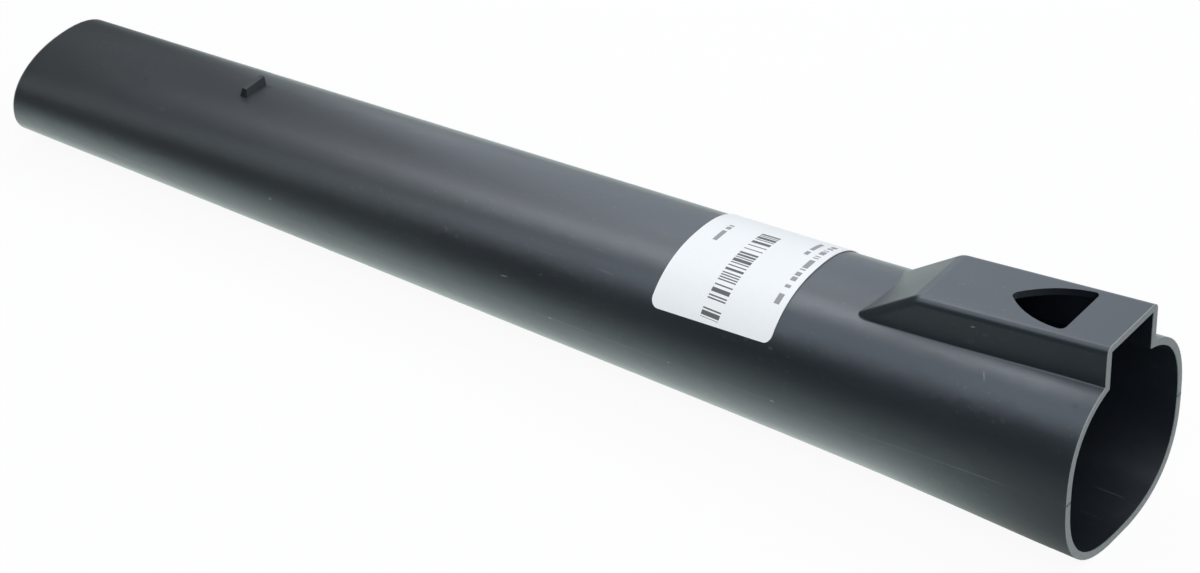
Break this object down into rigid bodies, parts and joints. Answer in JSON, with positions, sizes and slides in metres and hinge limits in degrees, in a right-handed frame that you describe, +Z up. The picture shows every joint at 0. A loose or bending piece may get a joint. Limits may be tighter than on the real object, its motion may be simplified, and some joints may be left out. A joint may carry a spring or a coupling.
{
  "type": "leaf blower nozzle tube",
  "caption": "Long thin-walled plastic blow tube that tapers from a squarish socket with a hollow latch tower to a flat oval mouth with a small catch.",
  "frame": {"origin": "centre of the socket's end plane, at the mould line's height", "axes": "+X along the tube and out of the socket towards the machine, +Z up through the latch tower; the tube lies on its straight underside"},
  "size_m": [0.373, 0.0622, 0.071],
  "materials": {
    "tube_plastic": "satin anthracite moulding with fine scratches and a faint mould line",
    "label_paper": "semi-matte white paper with plain dark bars"
  },
  "bodies": {
    "root": {"nozzle_tube": "tube_plastic", "label": "label_paper"}
  },
  "joints": []
}
